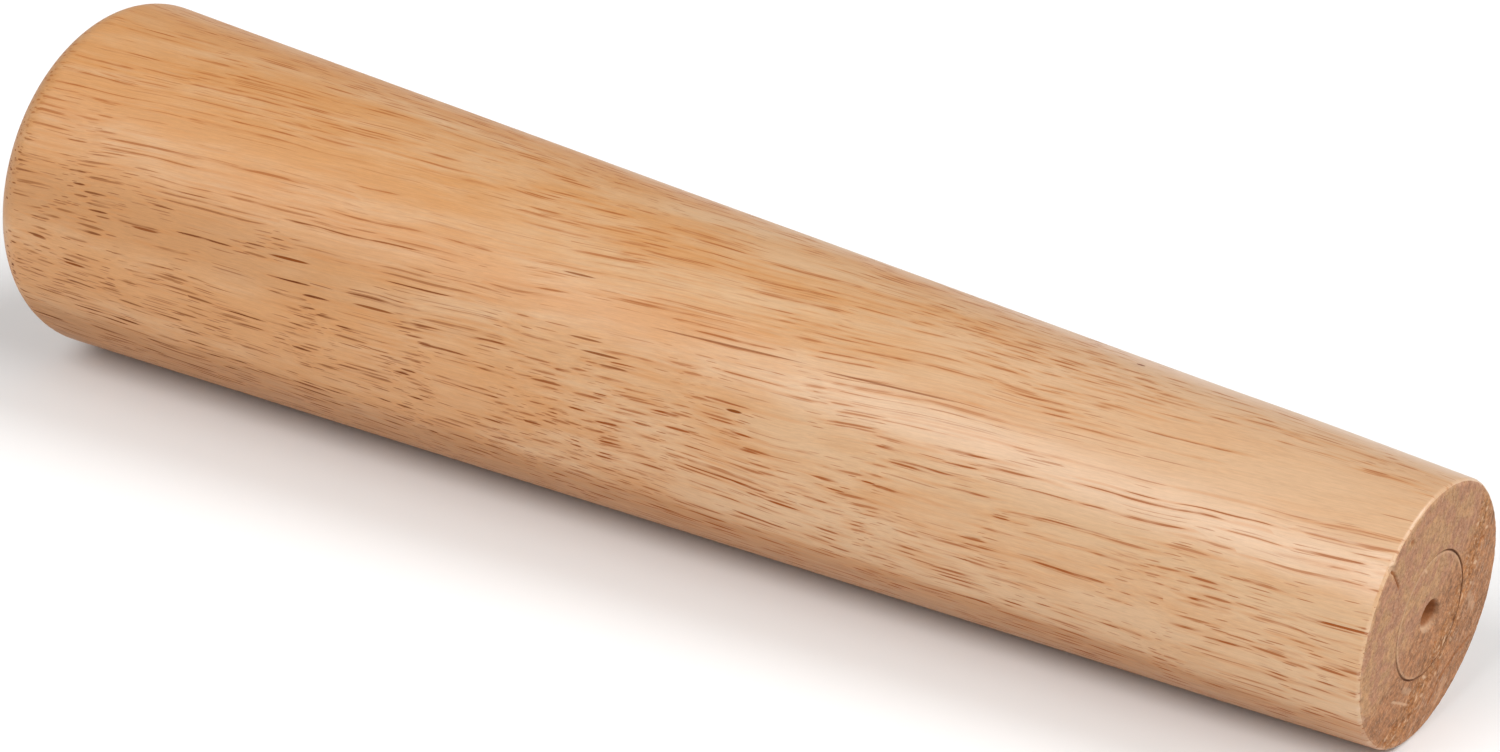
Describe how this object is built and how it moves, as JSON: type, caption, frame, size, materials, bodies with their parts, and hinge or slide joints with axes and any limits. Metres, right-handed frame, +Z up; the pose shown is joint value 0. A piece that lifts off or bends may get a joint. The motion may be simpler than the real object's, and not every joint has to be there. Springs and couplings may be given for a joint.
{
  "type": "tapered wooden mandrel",
  "caption": "Solid turned wooden taper, rounded over at its wide end and sawn flat at its small end, with a flush end plug and a lathe centre hole, for striking or forming by hand.",
  "frame": {"origin": "under the middle of the bounding box, on the level that the taper lies on along its lowest line", "axes": "+X along the length towards the small end, +Z up, and +Y across; the turned axis lies in the XZ plane and dips 1.9 degrees towards +X"},
  "size_m": [0.3016, 0.0696, 0.0695],
  "materials": {
    "lacquered_wood": "satin lacquer over honey-coloured rubberwood",
    "raw_end_grain": "bare sawn end grain, matt"
  },
  "bodies": {
    "root": {"body": "lacquered_wood", "end_plug": "raw_end_grain"}
  },
  "joints": []
}
